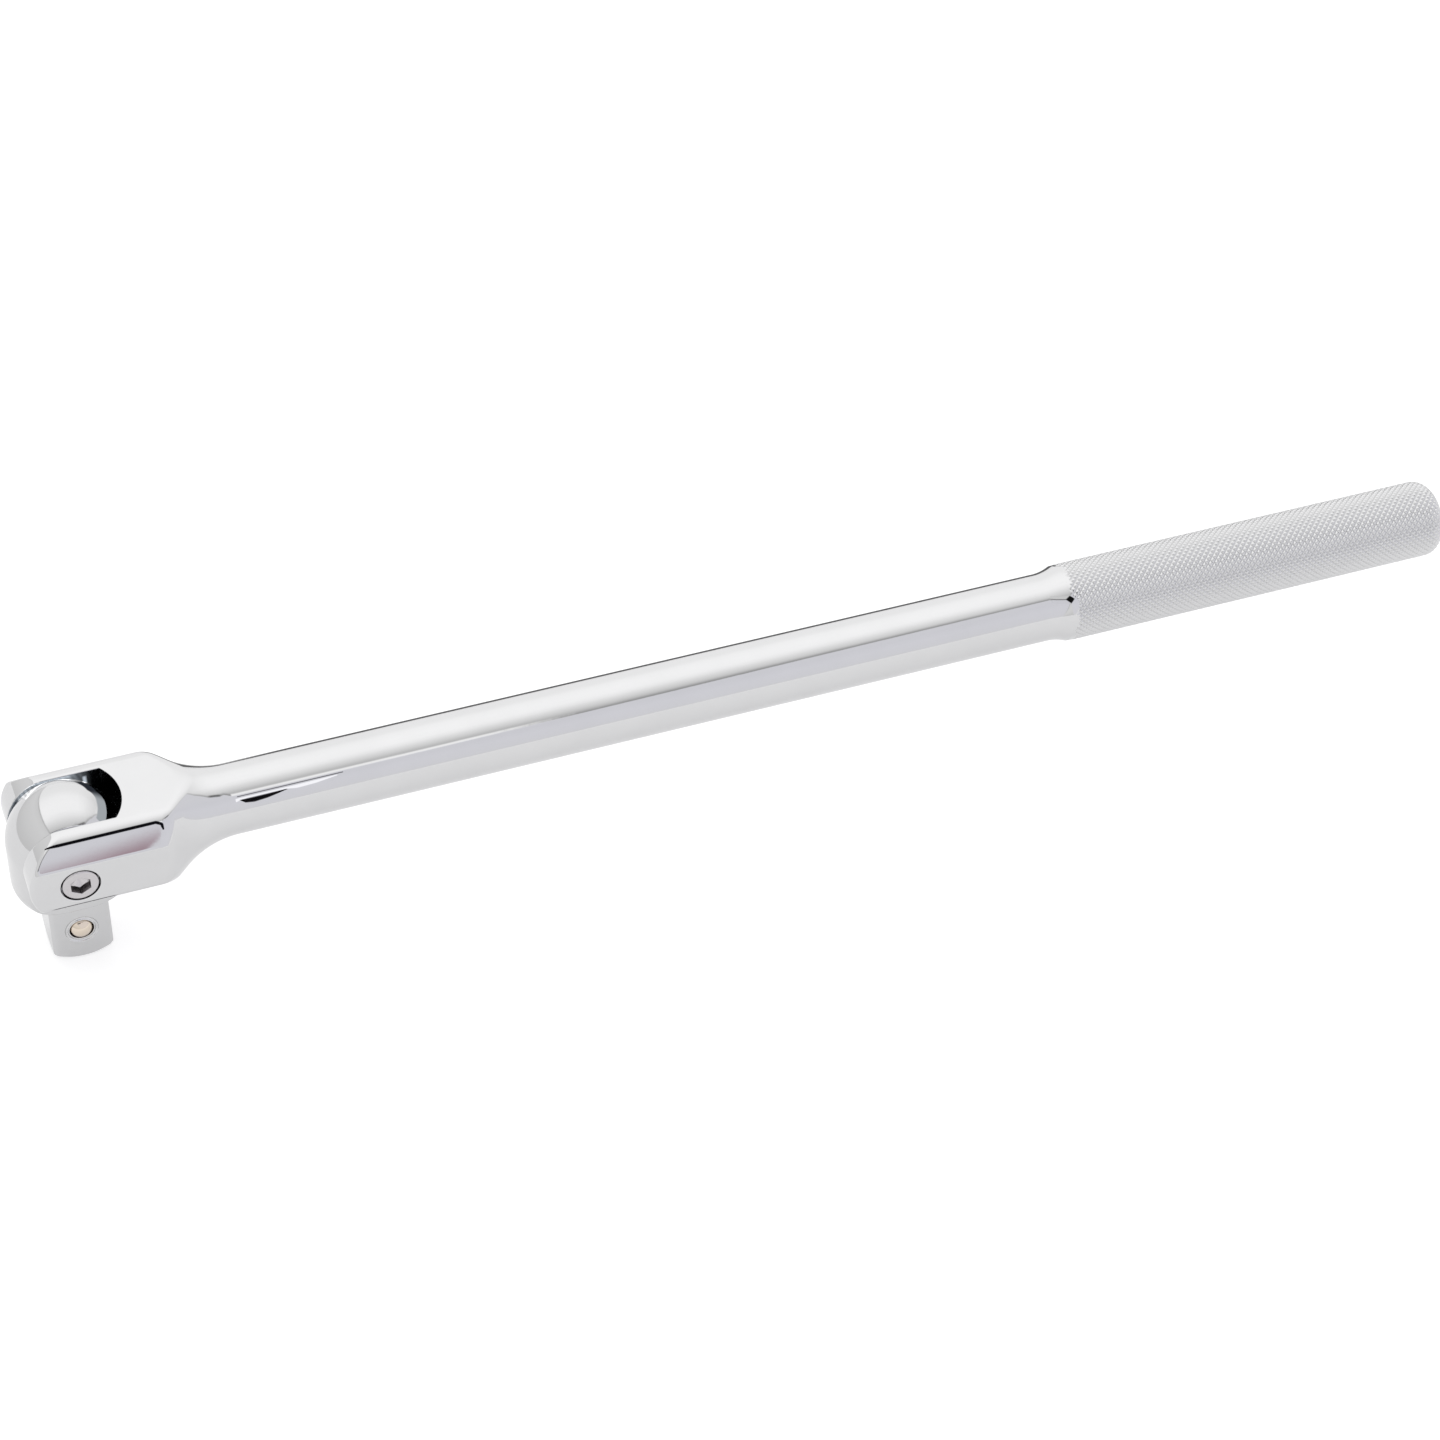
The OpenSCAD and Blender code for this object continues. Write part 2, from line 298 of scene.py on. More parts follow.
def surface(field, low, high, cell):
    """Net of quads over the surface where the field is zero.

    Returns its points, normals and quads, and each point's grid cell.
    """
    low = np.array(low, float)
    counts = np.ceil((np.array(high) - low) / cell).astype(int) + 1
    places = [low[a] + cell * np.arange(counts[a]) for a in (X, Y, Z)]
    grid = np.meshgrid(*[p.astype(np.float32) for p in places], indexing="ij", sparse=True)
    values = np.broadcast_to(field(*grid), counts)
    inside = values < 0
    last = counts - 1
    full = np.zeros(last, np.int8)
    for i in (0, 1):
        for j in (0, 1):
            for k in (0, 1):
                full += inside[i:last[X] + i, j:last[Y] + j, k:last[Z] + k]
    active = (full > 0) & (full < 8)
    cells = np.argwhere(active)
    number = np.full(last, -1, np.int32)
    number[active] = np.arange(len(cells))

    total = np.zeros((len(cells), 3))
    hits = np.zeros(len(cells))
    for a in (X, Y, Z):
        b, c = (a + 1) % 3, (a + 2) % 3
        for corner in ((0, 0), (0, 1), (1, 0), (1, 1)):
            start = cells.copy()
            start[:, [b, c]] += corner
            end = start.copy()
            end[:, a] += 1
            before = values[tuple(start.T)].astype(float)
            after = values[tuple(end.T)].astype(float)
            crossed = (before < 0) != (after < 0)
            crossing = start[crossed].astype(float)
            crossing[:, a] += before[crossed] / (before - after)[crossed]
            total[crossed] += crossing
            hits += crossed
    points = low + cell * total / hits[:, None]

    quads = []
    for a in (X, Y, Z):
        b, c = (a + 1) % 3, (a + 2) % 3
        edges = np.argwhere(np.diff(inside.astype(np.int8), axis=a) != 0)
        inner = (edges[:, [b, c]] > 0).all(1) & (edges[:, [b, c]] < last[[b, c]]).all(1)
        edges = edges[inner]
        ring = []
        for corner in ((1, 1), (0, 1), (0, 0), (1, 0)):
            around = edges.copy()
            around[:, [b, c]] -= corner
            ring.append(number[tuple(around.T)])
        ring = np.stack(ring, 1)
        backward = ~inside[tuple(edges.T)]
        ring[backward] = ring[backward][:, ::-1]
        quads.append(ring)
    points, normals = settle(field, points, cell)
    return points, normals, np.concatenate(quads), cells


def add_mesh(name, points, faces, normals=None):
    """Smooth-shaded mesh object from points in millimetres about the pivot."""
    mesh = bpy.data.meshes.new(name)
    mesh.from_pydata((points * MM + PIVOT).tolist(), [], [f.tolist() for f in faces])
    mesh.validate()
    mesh.shade_smooth()
    if normals is not None:
        mesh.normals_split_custom_set_from_vertices(normals.tolist())
    piece = bpy.data.objects.new(name, mesh)
    bpy.context.scene.collection.objects.link(piece)
    return piece


def face_centres(piece):
    """Middle of each face, in millimetres from the pivot, and each face's normal."""
    centres = np.zeros(len(piece.data.polygons) * 3, np.float32)
    piece.data.polygons.foreach_get("center", centres)
    normals = np.zeros_like(centres)
    piece.data.polygons.foreach_get("normal", normals)
    return (centres.reshape(-1, 3) - PIVOT) / MM, normals.reshape(-1, 3)


def paint_faces(piece, chosen):
    """Gives the chosen faces the piece's second material."""
    piece.data.polygons.foreach_set("material_index", chosen.astype(np.int32))


def place(piece, node, body, slot, *materials):
    """Puts a finished piece on its body in place of a CAD node."""
    for material in materials:
        piece.data.materials.append(material)
    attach(piece, body)
    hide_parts(node)


def place_spring(name, node, body, axis, wire_r, turns):
    """Coil spring that fills a CAD node's box, put on a body in place of that node."""
    low, high = box_mm(node)
    spring = build_spring(name, low, high, axis, wire_r, turns)
    place(spring, node, body, "spring_steel", spring_steel)
    closed_end = (low + high) / 2
    closed_end[axis] = high[axis]
    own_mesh(spring)


# ---------------------------------------------------------------- shaft and grip

def arc(centre, radius, start, end, step):
    """Stations on an arc: place along the handle, radius, and tilt of the normal.

    Tilt 0 faces straight out and 90 degrees faces along +X. A hollow arc has a negative radius.
    """
    count = max(3, math.ceil(abs(radius * (end - start)) / step) + 1)
    tilt = np.linspace(start, end, count)
    return np.stack([centre[0] + radius * np.sin(tilt), centre[1] + radius * np.cos(tilt), tilt], 1)


def grip_stations(first_x, step):
    """Profile from the plain shaft to the middle of the domed end, every step along the knurl."""
    flare_angle = math.acos(1 - (BAND_R - SHAFT_R) / (FLARE_R + FLARE_TOP_R))
    grip_x = GRIP_END - GRIP_LENGTH
    flare_x = grip_x - (FLARE_R + FLARE_TOP_R) * math.sin(flare_angle)
    flare = arc((flare_x, SHAFT_R + FLARE_R), -FLARE_R, 0, -flare_angle, 0.1)
    flare_top = arc((grip_x, BAND_R - FLARE_TOP_R), FLARE_TOP_R, -flare_angle, 0, 0.08)
    dome_x = GRIP_END - DOME_R
    rim_centre_r = GRIP_R - RIM_R
    rim_x = dome_x + math.sqrt((DOME_R - RIM_R) ** 2 - rim_centre_r**2)
    dome_angle = math.atan2(rim_centre_r, rim_x - dome_x)
    rim_end = math.pi / 2 - dome_angle
    straight_x = np.arange(grip_x + FIRST_EVEN_RING, rim_x - step / 2, step)
    straight = np.stack([straight_x, np.full(len(straight_x), BAND_R), 0 * straight_x], 1)
    rim = arc((rim_x, BAND_R - RIM_R), RIM_R, 0, rim_end, step)
    dome_centre = (dome_x, BAND_R - GRIP_R)
    dome = arc(dome_centre, DOME_R, rim_end, math.pi / 2 - 0.02, 0.3)
    shaft = np.array([[first_x, SHAFT_R, 0.0], [flare_x - 1.0, SHAFT_R, 0.0]])
    return np.concatenate([shaft, flare, flare_top[1:], straight, rim, dome[1:]])


def fade(value, low, high):
    """0 below low, 1 above high, smooth between."""
    t = np.clip((value - low) / (high - low), 0, 1)
    return t * t * (3 - 2 * t)


def knurl_height(along, angle):
    """Diamond knurling: 0 on the crests of the diamonds, -1 in the grooves."""
    turn = angle * KNURL_STARTS / (2 * math.pi)
    first = 1 - 2 * np.abs((turn + along / KNURL_PITCH) % 1 - 0.5)
    second = 1 - 2 * np.abs((turn - along / KNURL_PITCH) % 1 - 0.5)
    return np.minimum(KNURL_SLOPE * np.minimum(first, second), 1) - 1


def shaft_and_grip(first_x):
    """Grid of points over the shaft, flare, knurled grip and end: points[station, angle].

    Also returns how deep in a knurl groove each point lies, from 0 to 1.
    """
    around = KNURL_STARTS * KNURL_SAMPLES
    stations = grip_stations(first_x, KNURL_PITCH / KNURL_SAMPLES)
    steps = np.linalg.norm(np.diff(stations[:, :2], axis=0), axis=1)
    along = np.concatenate([[0], np.cumsum(steps)])
    first_knurl = np.searchsorted(stations[:, 0], GRIP_END - GRIP_LENGTH + FIRST_EVEN_RING)
    along = (along - along[first_knurl])[:, None]
    angle = (2 * math.pi * np.arange(around) / around)[None, :]
    knurl_start = KNURL_START + (0.22 * np.sin(5 * angle + 1) + 0.18 * np.sin(11 * angle))
    amount = fade(stations[:, :1], knurl_start, knurl_start + KNURL_RUN_IN)
    amount = amount * (1 - fade(stations[:, 2:], math.radians(25), math.radians(60)))
    height = knurl_height(along, angle)
    lift = amount * (GRIP_R - BAND_R + KNURL_DEPTH * height)
    reach = stations[:, 1:2] + lift * np.cos(stations[:, 2:])
    x = stations[:, :1] + lift * np.sin(stations[:, 2:]) + 0 * angle
    return np.stack([x, reach * np.cos(angle), reach * np.sin(angle)], 2), -amount * height


def grid_normals(grid):
    """Normals of a tube of points that closes round its second index."""
    along = np.gradient(grid, axis=0)
    around = np.roll(grid, -1, axis=1) - np.roll(grid, 1, axis=1)
    normal = np.cross(around, along)
    return normal / np.linalg.norm(normal, axis=2)[:, :, None]


def zip_rings(first, first_angles, second, second_angles):
    """Triangles between two rings of point numbers, each in order of rising angle."""
    faces = []
    i = j = 0
    while i < len(first) or j < len(second):
        next_first = first_angles[i + 1] if i + 1 < len(first) else 2 * math.pi
        next_second = second_angles[j + 1] if j + 1 < len(second) else 2 * math.pi
        a, b = first[i % len(first)], second[j % len(second)]
        if j >= len(second) or (i < len(first) and next_first <= next_second):
            faces.append((a, first[(i + 1) % len(first)], b))
            i += 1
        else:
            faces.append((a, second[(j + 1) % len(second)], b))
            j += 1
    return faces


def build_handle():
    """Yoke, shaft and grip as one closed mesh."""
    points, normals, quads, cells = surface(
        yoke_field, (-NOSE_R - MARGIN, -HALF_W - MARGIN, -HALF_H - MARGIN),
        (SHAFT_START, HALF_W + MARGIN, HALF_H + MARGIN), YOKE_CELL)
    faces = list(quads)

    outer = np.hypot(points[:, Y], points[:, Z]) > SHAFT_R - YOKE_CELL
    rim = np.flatnonzero((cells[:, X] == cells[:, X].max()) & outer)
    rim_angle = np.arctan2(points[rim, Z], points[rim, Y]) % (2 * math.pi)
    order = np.argsort(rim_angle)

    grid, depth = shaft_and_grip(SHAFT_START + 1.0)
    stations, around = grid.shape[:2]
    start = len(points)
    number = start + np.arange(stations * around).reshape(stations, around)
    ring_angle = 2 * math.pi * np.arange(around) / around
    faces += [np.array(f) for f in zip_rings(rim[order], rim_angle[order], number[0], ring_angle)]
    turned = np.roll(number, -1, axis=1)
    tube = np.stack([number[:-1], turned[:-1], turned[1:], number[1:]], 2)
    faces += list(tube.reshape(-1, 4))

    tip = start + stations * around
    faces += [np.array((a, b, tip)) for a, b in zip(number[-1], turned[-1])]
    points = np.concatenate([points, grid.reshape(-1, 3), [[grid[-1, 0, X], 0, 0]]])
    normals = np.concatenate([normals, grid_normals(grid).reshape(-1, 3), [[1, 0, 0]]])
    handle = add_mesh("handle_bar", points, faces, normals)
    # The groove depth sets the painted shade in the knurl grooves.
    grooves = np.zeros(len(points), np.float32)
    grooves[start:tip] = depth.ravel()
    handle.data.attributes.new("groove", "FLOAT", "POINT").data.foreach_set("value", grooves)
    centres, facing = face_centres(handle)
    # Painted shade: the slot walls, pocket and bore take the darker pocket_shade chrome.
    paint_faces(handle, inside_yoke(centres, facing))
    return handle


def inside_yoke(centres, facing):
    """Faces of the slot's walls, of the ball-shaped pocket, and of the bore behind it."""
    x, y, z = centres.T
    across = np.hypot(y, z)
    slot_wall = (np.abs(np.abs(y) - SLOT_HALF) < 0.04) & (np.abs(facing[:, Y]) > 0.9) & (x < 12)
    pocket = (np.abs(np.hypot(x, across) - POCKET_R) < 0.1) & (np.abs(y) < SLOT_HALF - 0.03)
    pocket &= (x > 4) & (np.abs(z) < HALF_H - 0.25)
    return slot_wall | pocket | ((across < FRICTION_BALL_R + 0.2) & (x > 11) & (x < 25))


def build_screw():
    """Pivot screw, with painted shade on the walls of its socket."""
    screw = build_from_field("flush_screw", screw_field, screw_low, screw_high, SCREW_CELL)
    centres, normals = face_centres(screw)
    x, y, z = centres.T
    in_socket = (np.hypot(x, z) < SOCKET_HALF * 1.16) & (y > -HALF_W + 0.1) & (y < -7)
    paint_faces(screw, in_socket & (normals[:, Y] > -0.6))
    return screw


def build_from_field(name, field, low, high, cell):
    """A whole piece from its distance field."""
    points, normals, quads, _ = surface(
        field, np.array(low) - MARGIN, np.array(high) + MARGIN, cell)
    return add_mesh(name, points, list(quads), normals)


def build_ball(name, centre, radius):
    """Ball about a centre given in millimetres from the pivot."""
    bpy.ops.mesh.primitive_ico_sphere_add(subdivisions=6, radius=radius * MM)
    ball = bpy.context.object
    ball.name = name
    ball.data.name = name
    ball.data.transform(Matrix.Translation(Vector(np.array(centre) * MM + PIVOT)))
    ball.data.shade_smooth()
    return ball


def build_spring(name, low, high, axis, wire_r, turns):
    """Coil of round wire that fills the CAD spring's box, along X or Y."""
    wire_sides = 14
    steps = int(turns * 40)
    across = [a for a in (X, Y, Z) if a != axis]
    middle = (low + high) / 2
    coil_r = (high[across[0]] - low[across[0]]) / 2 - wire_r
    t = np.linspace(0, 1, steps)[:, None]
    angle = 2 * math.pi * turns * t
    side = 2 * math.pi * np.arange(wire_sides)[None, :] / wire_sides
    reach = coil_r + wire_r * np.cos(side)
    length = high[axis] - low[axis] - 2 * wire_r
    points = np.zeros((steps, wire_sides, 3))
    points[..., axis] = low[axis] + wire_r + length * t + wire_r * np.sin(side)
    points[..., across[0]] = middle[across[0]] + reach * np.cos(angle)
    points[..., across[1]] = middle[across[1]] + reach * np.sin(angle)
    number = np.arange(steps * wire_sides).reshape(steps, wire_sides)
    turned = np.roll(number, -1, axis=1)
    tube = np.stack([number[:-1], turned[:-1], turned[1:], number[1:]], 2)
    faces = list(tube.reshape(-1, 4)) + [number[0][::-1], number[-1]]
    return add_mesh(name, points.reshape(-1, 3), faces)


# ---------------------------------------------------------------- materials

class Nodes:
    """Short way to add and wire shader nodes in one tree."""

    def __init__(self, tree):
        self.tree = tree
        tree.nodes.clear()

    def add(self, kind, inputs=None, **settings):
        """Adds a node. An input is a value or another node's output."""
        node = self.tree.nodes.new("ShaderNode" + kind)
        for name, value in settings.items():
            setattr(node, name, value)
        for name, value in (inputs or {}).items():
            if isinstance(value, bpy.types.NodeSocket):
                self.tree.links.new(value, node.inputs[name])
            else:
                node.inputs[name].default_value = value
        return node

    def math(self, operation, a, b=0.0):
        """Result of a math node."""
        return self.add("Math", {0: a, 1: b}, operation=operation).outputs[0]

    def ramp(self, value, stops):
        """Colour that follows value, from (place, colour) stops."""
        node = self.add("ValToRGB", {"Fac": value})
        elements = node.color_ramp.elements
        while len(elements) < len(stops):
            elements.new(0.5)
        for element, (spot, colour) in zip(elements, stops):
            element.position = spot
            element.color = (*colour, 1.0)
        return node.outputs["Color"]

    def scale_to(self, value, low, high):
        """Value from 0 to 1, spread from low to high."""
        inputs = {"Value": value, "To Min": low, "To Max": high}
        return self.add("MapRange", inputs).outputs["Result"]


def metal(name, colour, smoothest, roughest, peel, scratches=0.03, darker=None):
    """Polished metal: patches of haze, fine scratches, and the faint ripple of plating.

    smoothest and roughest bound the haze, and peel is the ripple's height in millimetres.
    A mesh with an attribute named groove gets painted shade, darker where that is near 1.
    darker lists places along X, in millimetres, with the share of the colour left there, for
    painted shade that changes along X.
    """
    material = bpy.data.materials.new(name)
    material.use_nodes = True
    n = Nodes(material.node_tree)
    position = n.add("TexCoord").outputs["Object"]
    haze = n.add("TexNoise", {"Vector": position, "Scale": 160.0, "Detail": 5.0}).outputs["Fac"]
    stretched = n.add("Mapping", {"Vector": position, "Scale": (60.0, 1800.0, 1800.0)})
    streak = n.add("TexNoise", {"Vector": stretched.outputs[0], "Scale": 1.0, "Detail": 3.0})
    mark = n.math("POWER", streak.outputs["Fac"], 6.0)
    roughness = n.scale_to(haze, smoothest, roughest)
    roughness = n.math("ADD", roughness, n.math("MULTIPLY", mark, scratches))
    ripple = n.add("TexNoise", {"Vector": position, "Scale": 420.0, "Detail": 2.0}).outputs["Fac"]
    grain = n.add("TexNoise", {"Vector": position, "Scale": 5200.0, "Detail": 2.0}).outputs["Fac"]
    height = n.math("ADD", ripple, n.math("MULTIPLY", grain, 0.04))
    bump = n.add("Bump", {"Height": height, "Strength": 1.0, "Distance": peel * MM})
    hazy = [c * 0.94 for c in colour]
    tint = n.add("MixRGB", {"Fac": haze, "Color1": (*hazy, 1.0), "Color2": (*colour, 1.0)})
    # Painted shade in the knurl grooves: the base colour darkens towards the groove bottoms.
    groove = n.add("Attribute", attribute_name="groove").outputs["Fac"]
    groove_shade = n.math("MULTIPLY", n.math("POWER", groove, 5.0), 0.5)
    base = n.add("MixRGB", {
        "Fac": groove_shade, "Color1": tint.outputs[0], "Color2": (0.16, 0.16, 0.17, 1.0)}).outputs[0]
    if darker:
        first, last = darker[0][0], darker[-1][0]
        along = n.add("SeparateXYZ", {0: position}).outputs[X]
        share = n.add("MapRange", {
            "Value": along, "From Min": first * MM, "From Max": last * MM}).outputs[0]
        stops = [((spot - first) / (last - first), (left, left, left)) for spot, left in darker]
        base = n.add("MixRGB", {"Fac": 1.0, "Color1": base, "Color2": n.ramp(share, stops)},
                     blend_type="MULTIPLY").outputs[0]
    shader = n.add("BsdfPrincipled", {
        "Base Color": base, "Metallic": 1.0, "Roughness": roughness,
        "Normal": bump.outputs[0]})
    n.add("OutputMaterial", {"Surface": shader.outputs[0]})
    return material


# ---------------------------------------------------------------- studio

def grey(level, cool=0.0):
    """Grey of a linear brightness, with a share more blue."""
    return (level, level, level * (1 + cool))


def studio_world():
    """White panel overhead, a cooler one in front, a grey one to the left, and a pale floor.

    Directions are sorted by their angle from straight up, towards the front (-Y) and the
    left (-X). The overhead panel's front edge lies further back towards the right.
    """
    world = bpy.data.worlds.new("studio")
    bpy.context.scene.world = world
    world.use_nodes = True
    n = Nodes(world.node_tree)
    way = n.add("SeparateXYZ", {0: n.add("TexCoord").outputs["Generated"]}).outputs
    flip_y = n.math("MULTIPLY", way[Y], -1.0)
    flip_x = n.math("MULTIPLY", way[X], -1.0)
    turn = 360 / (2 * math.pi)
    to_front = n.math("MULTIPLY", n.math("ARCTAN2", flip_y, way[Z]), turn)
    to_left = n.math("MULTIPLY", n.math("ARCTAN2", flip_x, way[Z]), turn)

    def by_angle(angle, stops):
        """Colour that follows an angle in degrees."""
        share = n.math("ADD", n.math("DIVIDE", angle, 360.0), 0.5)
        return n.ramp(share, [(spot / 360 + 0.5, colour) for spot, colour in stops])

    def by_right(stops):
        """Number that follows the direction's share along +X."""
        share = n.math("ADD", n.math("MULTIPLY", way[X], 0.5), 0.5)
        colour = n.ramp(share, [(spot / 2 + 0.5, grey(value)) for spot, value in stops])
        return n.add("RGBToBW", {0: colour}).outputs[0]

    def times(colour, factor):
        """Colour times a number."""
        return n.add("VectorMath", {0: colour, "Scale": factor}, operation="SCALE").outputs[0]

    floor = grey(0.96)
    overhead = by_angle(to_front, [
        (-180, floor), (-102, floor), (-88, grey(1.12)), (-60, grey(1.17)), (-44, grey(1.27)),
        (-25, grey(1.30)), (-8, grey(1.28)), (3, grey(1.17)), (11, grey(1.03)),
        (20, grey(0.88)), (28, grey(0.70)), (38, grey(0.60)), (60, grey(0.55))])
    overhead = times(overhead, by_right([(0.5, 1.0), (0.65, 0.95), (0.85, 0.80), (0.96, 0.95)]))
    front = by_angle(to_front, [
        (20, grey(0.88, 0.05)), (44, grey(0.86, 0.06)), (62, grey(0.89, 0.06)),
        (84, grey(0.88, 0.05)), (92, grey(0.88, 0.02)), (101, floor)])
    share = by_right([
        (0.15, 0.705), (0.20, 0.703), (0.25, 0.689), (0.30, 0.667), (0.36, 0.647),
        (0.43, 0.655), (0.65, 0.625), (0.82, 0.522), (0.92, 0.383), (0.98, 0.2)])
    edge = n.math("SUBTRACT", n.math("MULTIPLY", share, 180.0), 90.0)
    past = n.math("SUBTRACT", to_front, edge)
    line_end = 1.5
    is_front = n.add("Clamp", {"Value": n.math("SUBTRACT", past, line_end)}).outputs[0]
    panels = n.add("MixRGB", {"Fac": is_front, "Color1": overhead, "Color2": front}).outputs[0]
    plain_line = by_angle(past, [
        (-7.5, grey(1.0)), (-3.5, grey(0.84)), (-0.7, grey(0.66)), (line_end, grey(0.66)),
        (2.5, grey(1.0))])
    bright_line = by_angle(past, [
        (-8, grey(1.0)), (-6, grey(1.0)), (-4, grey(1.5)), (-2.5, grey(1.95)),
        (line_end, grey(1.95)), (2.5, grey(1.05)), (5, grey(1.0))])
    dark_line = by_angle(past, [
        (-4.5, grey(1.0)), (-3.5, grey(0.04)), (3.5, grey(0.04)), (4.5, grey(1.0))])
    is_plain = by_right([(0.04, 1.0), (0.06, 0.0), (0.215, 0.0), (0.235, 1.0)])
    line = n.add("MixRGB", {"Fac": is_plain, "Color1": bright_line, "Color2": plain_line})
    is_dark = by_right([(-0.08, 1.0), (-0.03, 0.0), (0.40, 0.0), (0.45, 0.6), (0.60, 0.6),
                        (0.65, 0.0)])
    line = n.add("MixRGB", {"Fac": is_dark, "Color1": line.outputs[0], "Color2": dark_line})
    front = n.add("MixRGB", {"Fac": 1.0, "Color1": panels, "Color2": line.outputs[0]},
                  blend_type="MULTIPLY").outputs[0]
    left = by_angle(to_left, [
        (32.8, grey(0.7)), (33.2, grey(0.45)), (34, grey(0.45)), (34.8, grey(0.86)),
        (45, grey(0.91)), (66, grey(0.86)), (86, grey(0.78)), (106, grey(0.76)), (109, floor)])
    is_left = by_angle(to_left, [
        (32.4, grey(0.0)), (32.8, grey(1.0)), (109, grey(1.0)), (113, grey(0.0))])
    weight = n.add("RGBToBW", {0: is_left}).outputs[0]
    colour = n.add("MixRGB", {"Fac": weight, "Color1": front, "Color2": left}).outputs[0]
    background = n.add("Background", {"Color": colour, "Strength": 1.0})
    n.add("OutputWorld", {"Surface": background.outputs[0]})


def studio_floor():
    """Pale floor under the end of the drive, lit a little from below like a light table.

    The camera sees it slightly overexposed. A dark strip behind the shaft shows only in
    reflections, and draws a thin line along the shaft's upper edge.
    """
    drop = 0.0002
    bpy.ops.mesh.primitive_plane_add(size=6.0, location=(0.0, 0.0, cad_low.z - drop))
    floor = bpy.context.object
    floor.name = "floor"
    material = bpy.data.materials.new("floor_white")
    material.use_nodes = True
    n = Nodes(material.node_tree)
    spot = n.add("TexCoord").outputs["Object"]
    paper = n.add("TexNoise", {"Vector": spot, "Scale": 40.0, "Detail": 4.0}).outputs["Fac"]
    ray = n.add("LightPath").outputs
    ground = n.add("SeparateXYZ", {0: spot}).outputs

    def between(value, low, high, soft):
        """1 from low to high, fading to 0 over a soft margin outside them."""
        rise = n.add("MapRange", {"Value": value, "From Min": low - soft, "From Max": low})
        fall = n.add("MapRange", {"Value": value, "From Min": high, "From Max": high + soft,
                                  "To Min": 1.0, "To Max": 0.0})
        return n.math("MULTIPLY", rise.outputs[0], fall.outputs[0])

    strip = n.math("MULTIPLY", between(ground[Y], 0.055, 0.17, 0.03),
                   between(ground[X], 0.045, 0.31, 0.015))
    strip = n.math("MULTIPLY", strip, ray["Is Glossy Ray"])
    kept = n.math("SUBTRACT", 1.0, n.math("MULTIPLY", strip, 0.9))
    level = n.math("MULTIPLY", n.scale_to(paper, 0.60, 0.62), kept)
    base = n.add("CombineColor", {0: level, 1: level, 2: level}).outputs[0]
    glow = n.math("ADD", 0.38, n.math("MULTIPLY", ray["Is Camera Ray"], 0.2))
    shader = n.add("BsdfPrincipled", {
        "Base Color": base, "Roughness": 0.9, "Emission Color": (1, 1, 1, 1),
        "Emission Strength": n.math("MULTIPLY", glow, kept)})
    n.add("OutputMaterial", {"Surface": shader.outputs[0]})
    floor.data.materials.append(material)


# ---------------------------------------------------------------- reflected cards

def mirror_card(name, points, normals, density, colour, distance):
    """Small card that only reflections show, held where the camera's rays go after the points.

    points and normals are grids on the tool's surface. density says how solid the card is
    over each point, from 0 to 1, and colour may differ from point to point too.
    """
    eye = np.array(bpy.context.scene.camera.matrix_world.translation)
    surface_points = points * MM + PIVOT
    ray = surface_points - eye
    ray = ray / np.linalg.norm(ray, axis=2)[:, :, None]
    bounce = ray - 2 * (ray * normals).sum(2)[:, :, None] * normals
    rows, columns = density.shape
    number = np.arange(rows * columns).reshape(rows, columns)
    faces = np.stack([number[:-1, :-1], number[1:, :-1], number[1:, 1:], number[:-1, 1:]], 2)
    mesh = bpy.data.meshes.new(name)
    spots = surface_points + bounce * distance * MM
    mesh.from_pydata(spots.reshape(-1, 3).tolist(), [], faces.reshape(-1, 4).tolist())
    solid = mesh.attributes.new("solid", "FLOAT", "POINT")
    solid.data.foreach_set("value", density.astype(np.float32).ravel())
    tint = mesh.attributes.new("tint", "FLOAT_VECTOR", "POINT")
    tints = np.broadcast_to(np.array(colour, np.float32), (rows, columns, 3))
    tint.data.foreach_set("vector", tints.ravel())
    card = bpy.data.objects.new(name, mesh)
    bpy.context.scene.collection.objects.link(card)
    card.visible_camera = False
    card.visible_diffuse = False
    card.visible_shadow = False
    card.visible_transmission = False
    material = bpy.data.materials.new(name)
    material.use_nodes = True
    n = Nodes(material.node_tree)
    amount = n.add("Attribute", attribute_name="solid").outputs["Fac"]
    clear = n.add("BsdfTransparent").outputs[0]
    shown = n.add("Attribute", attribute_name="tint").outputs["Vector"]
    lit = n.add("Emission", {"Color": shown}).outputs[0]
    shader = n.add("MixShader", {0: amount, 1: clear, 2: lit})
    n.add("OutputMaterial", {"Surface": shader.outputs[0]})
    mesh.materials.append(material)


def lattice(along, across):
    """Two grids of numbers: one that follows along, and one that follows across."""
    return np.meshgrid(along, across, indexing="ij")


def on_yoke(points):
    """A grid of points moved onto the yoke, and the yoke's normals there."""
    on_surface, normals = settle(yoke_field, points.reshape(-1, 3), 1.0)
    return on_surface.reshape(points.shape), normals.reshape(points.shape)


def bevel_plane(along, down):
    """Points on the plane of the near upper bevel, down millimetres below its upper edge."""
    fall = down / math.sqrt(2)
    return np.stack([along, BEVEL - HALF_W - fall, HALF_H - fall], 2)


def pink_card():
    """Dull pink card whose painted reflection tints the near bevel's lower part, with one rounded
    end.
    """
    width = BEVEL * math.sqrt(2)
    along, share = lattice(np.linspace(-7, 14, 43), np.linspace(0, 1.08, 24))
    points = bevel_plane(along, width * share)
    normals = np.zeros_like(points) + np.array([0, -1, 1]) / math.sqrt(2)
    start = 0.28 + 0.02 * (8 - along)
    end = 13.6 - 11.0 * np.maximum(share - 0.55, 0) ** 1.5
    density = fade(share, start, start + 0.8) * (1 - fade(along, end - 0.6, end))
    mirror_card("pink_card", points, normals, density, (0.44, 0.30, 0.35), 30)


